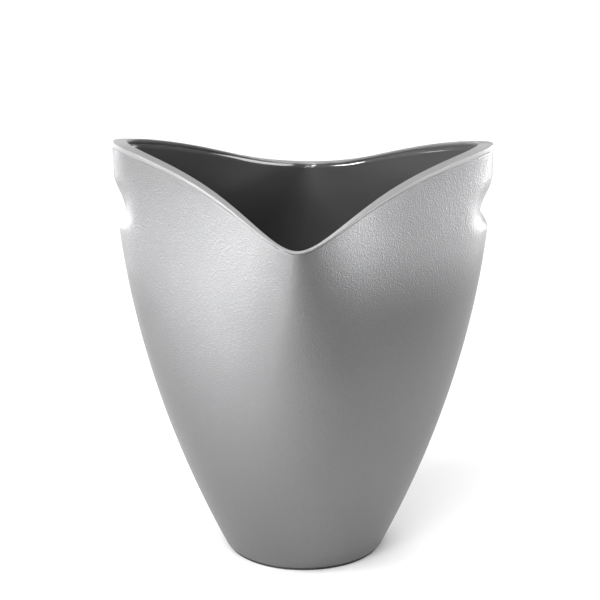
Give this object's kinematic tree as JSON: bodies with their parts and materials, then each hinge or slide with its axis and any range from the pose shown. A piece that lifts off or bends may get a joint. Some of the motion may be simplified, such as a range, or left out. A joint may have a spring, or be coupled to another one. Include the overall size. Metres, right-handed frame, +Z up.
{
  "type": "champagne bucket",
  "caption": "Double-skin champagne bucket with a round base, a diamond-shaped rim raised at the ends and dipped front and back, and a finger scoop in each end.",
  "frame": {"origin": "on the table plane under the middle of the round base, at the bottom of the foot ring", "axes": "+Z up; X runs between the two raised ends of the rim; the front low corner of the rim faces -Y"},
  "size_m": [0.265, 0.205, 0.301],
  "materials": {
    "grained_silver": "silver metallic moulded plastic with a fine leather-like grain and a satin sheen",
    "dark_liner": "smooth glossy charcoal plastic",
    "smooth_silver": "smooth silver metallic plastic, ungrained, satin-gloss",
    "gasket": "soft black gasket strip",
    "base_black": "matt charcoal plastic",
    "foot_rubber": "matt black non-slip rubber"
  },
  "bodies": {
    "root": {"outer_shell": "grained_silver", "inner_liner": "dark_liner", "rim_band": "smooth_silver", "rim_gasket": "gasket", "base_plate": "base_black", "foot_ring": "foot_rubber"}
  },
  "joints": []
}
